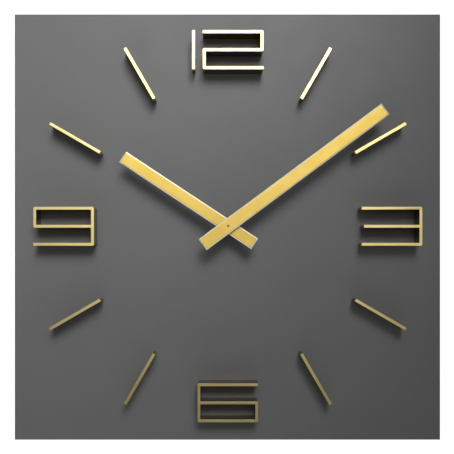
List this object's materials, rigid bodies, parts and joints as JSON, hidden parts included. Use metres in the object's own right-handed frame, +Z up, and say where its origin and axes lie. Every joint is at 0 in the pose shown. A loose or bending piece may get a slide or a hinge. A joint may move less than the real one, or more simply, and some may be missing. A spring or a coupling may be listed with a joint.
{
  "type": "wall clock",
  "caption": "Square wall clock with a dark satin face, raised gold strip numerals and hour markers, two bevelled gold hands and a battery quartz movement behind the panel.",
  "frame": {"origin": "centre of the hanger's round keyhole, on the hanger plate's rear face", "axes": "+Z up, +Y out of the back towards the wall, so that the dial faces -Y and +X is the dial's right"},
  "size_m": [0.4, 0.0553, 0.4],
  "materials": {
    "panel_lacquer": "dark grey satin lacquer on fibreboard",
    "frame_wood": "sawn and sanded softwood",
    "hanger_steel": "bright zinc plate",
    "bumper_rubber": "matt black rubber",
    "strip_gold": "gold anodised, polished front edges",
    "pin_steel": "drawn steel",
    "hand_gold": "gold anodised, satin with bright bevels",
    "collet_brass": "turned brass",
    "shaft_brass": "turned brass",
    "case_plastic": "black moulded plastic with a fine texture",
    "gear_plastic": "white acetal",
    "magnet_grey": "sintered magnet",
    "motor_steel": "soft iron sheet",
    "bobbin_plastic": "natural nylon",
    "winding_copper": "enamelled copper wire",
    "board_green": "green solder mask",
    "chip_black": "black potting resin",
    "crystal_can": "plated can",
    "contact_nickel": "nickel-plated spring strip",
    "battery_sleeve": "plain printed sleeve",
    "knob_plastic": "white moulded plastic"
  },
  "bodies": {
    "clock": {"face_panel": "panel_lacquer", "frame_rail_top": "frame_wood", "frame_rail_bottom": "frame_wood", "frame_rail_left": "frame_wood", "frame_rail_right": "frame_wood", "hanger_plate": "hanger_steel", "hanger_screws": "hanger_steel", "wall_bumpers": "bumper_rubber", "case_gasket": "bumper_rubber", "numeral_one": "strip_gold", "numeral_two": "strip_gold", "numeral_three": "strip_gold", "numeral_six": "strip_gold", "numeral_nine": "strip_gold", "marker_1": "strip_gold", "marker_2": "strip_gold", "marker_4": "strip_gold", "marker_5": "strip_gold", "marker_7": "strip_gold", "marker_8": "strip_gold", "marker_10": "strip_gold", "marker_11": "strip_gold", "numeral_pins": "pin_steel", "marker_pins": "pin_steel", "bridge_screws": "pin_steel", "shaft_washer": "shaft_brass", "shaft_nut": "shaft_brass", "threaded_bushing": "shaft_brass", "movement_case": "case_plastic", "movement_cover": "case_plastic", "train_bridge": "gear_plastic", "stator": "motor_steel", "coil_core": "motor_steel", "coil_bobbin": "bobbin_plastic", "coil_winding": "winding_copper", "circuit_board": "board_green", "circuit_chip": "chip_black", "quartz_crystal": "crystal_can", "contact_plus": "contact_nickel", "contact_minus": "contact_nickel"},
    "minute_hand": {"minute_hand": "hand_gold", "minute_collet": "collet_brass", "cannon_pinion": "gear_plastic", "center_wheel": "gear_plastic"},
    "hour_hand": {"hour_hand": "hand_gold", "hour_collet": "collet_brass", "hour_wheel": "gear_plastic"},
    "minute_wheel": {"minute_wheel": "gear_plastic"},
    "third_wheel": {"third_wheel": "gear_plastic"},
    "seconds_arbor": {"second_pinion": "gear_plastic", "second_wheel": "gear_plastic", "second_arbor": "pin_steel"},
    "fourth_wheel": {"fourth_wheel": "gear_plastic"},
    "rotor": {"rotor_pinion": "gear_plastic", "rotor_magnet": "magnet_grey"},
    "setting_knob": {"setting_knob": "knob_plastic"},
    "battery": {"battery": "battery_sleeve"}
  },
  "joints": [
    {"name": "minute_hand_spin", "type": "hinge", "parent": "clock", "child": "minute_hand", "pos_m": [0, -0.016, -0.1685], "axis": [0, 1, 0], "continuous": true},
    {"name": "hour_hand_spin", "type": "hinge", "parent": "clock", "child": "hour_hand", "pos_m": [0, -0.016, -0.1685], "axis": [0, 1, 0], "continuous": true},
    {"name": "minute_wheel_spin", "type": "hinge", "parent": "clock", "child": "minute_wheel", "pos_m": [0.012, -0.016, -0.1685], "axis": [0, 1, 0], "continuous": true},
    {"name": "setting_knob_spin", "type": "hinge", "parent": "clock", "child": "setting_knob", "pos_m": [0.018, -0.016, -0.15811], "axis": [0, 1, 0], "continuous": true},
    {"name": "third_wheel_spin", "type": "hinge", "parent": "clock", "child": "third_wheel", "pos_m": [-0.01224, -0.016, -0.1685], "axis": [0, 1, 0], "continuous": true},
    {"name": "seconds_arbor_spin", "type": "hinge", "parent": "clock", "child": "seconds_arbor", "pos_m": [0, -0.016, -0.1685], "axis": [0, 1, 0], "continuous": true},
    {"name": "fourth_wheel_spin", "type": "hinge", "parent": "clock", "child": "fourth_wheel", "pos_m": [0.00272, -0.016, -0.15836], "axis": [0, 1, 0], "continuous": true},
    {"name": "rotor_spin", "type": "hinge", "parent": "clock", "child": "rotor", "pos_m": [-0.00378, -0.016, -0.15461], "axis": [0, 1, 0], "continuous": true},
    {"name": "battery_slide", "type": "slide", "parent": "clock", "child": "battery", "axis": [0, 1, 0], "range_m": [0, 0.02]}
  ],
  "couplings": [
    {"joint": "hour_hand_spin", "follows": "minute_hand_spin", "ratio": 0.083333},
    {"joint": "minute_wheel_spin", "follows": "minute_hand_spin", "ratio": -0.33333},
    {"joint": "setting_knob_spin", "follows": "minute_hand_spin", "ratio": 1},
    {"joint": "third_wheel_spin", "follows": "minute_hand_spin", "ratio": -8},
    {"joint": "seconds_arbor_spin", "follows": "minute_hand_spin", "ratio": 60},
    {"joint": "fourth_wheel_spin", "follows": "minute_hand_spin", "ratio": -360},
    {"joint": "rotor_spin", "follows": "minute_hand_spin", "ratio": 1800}
  ]
}
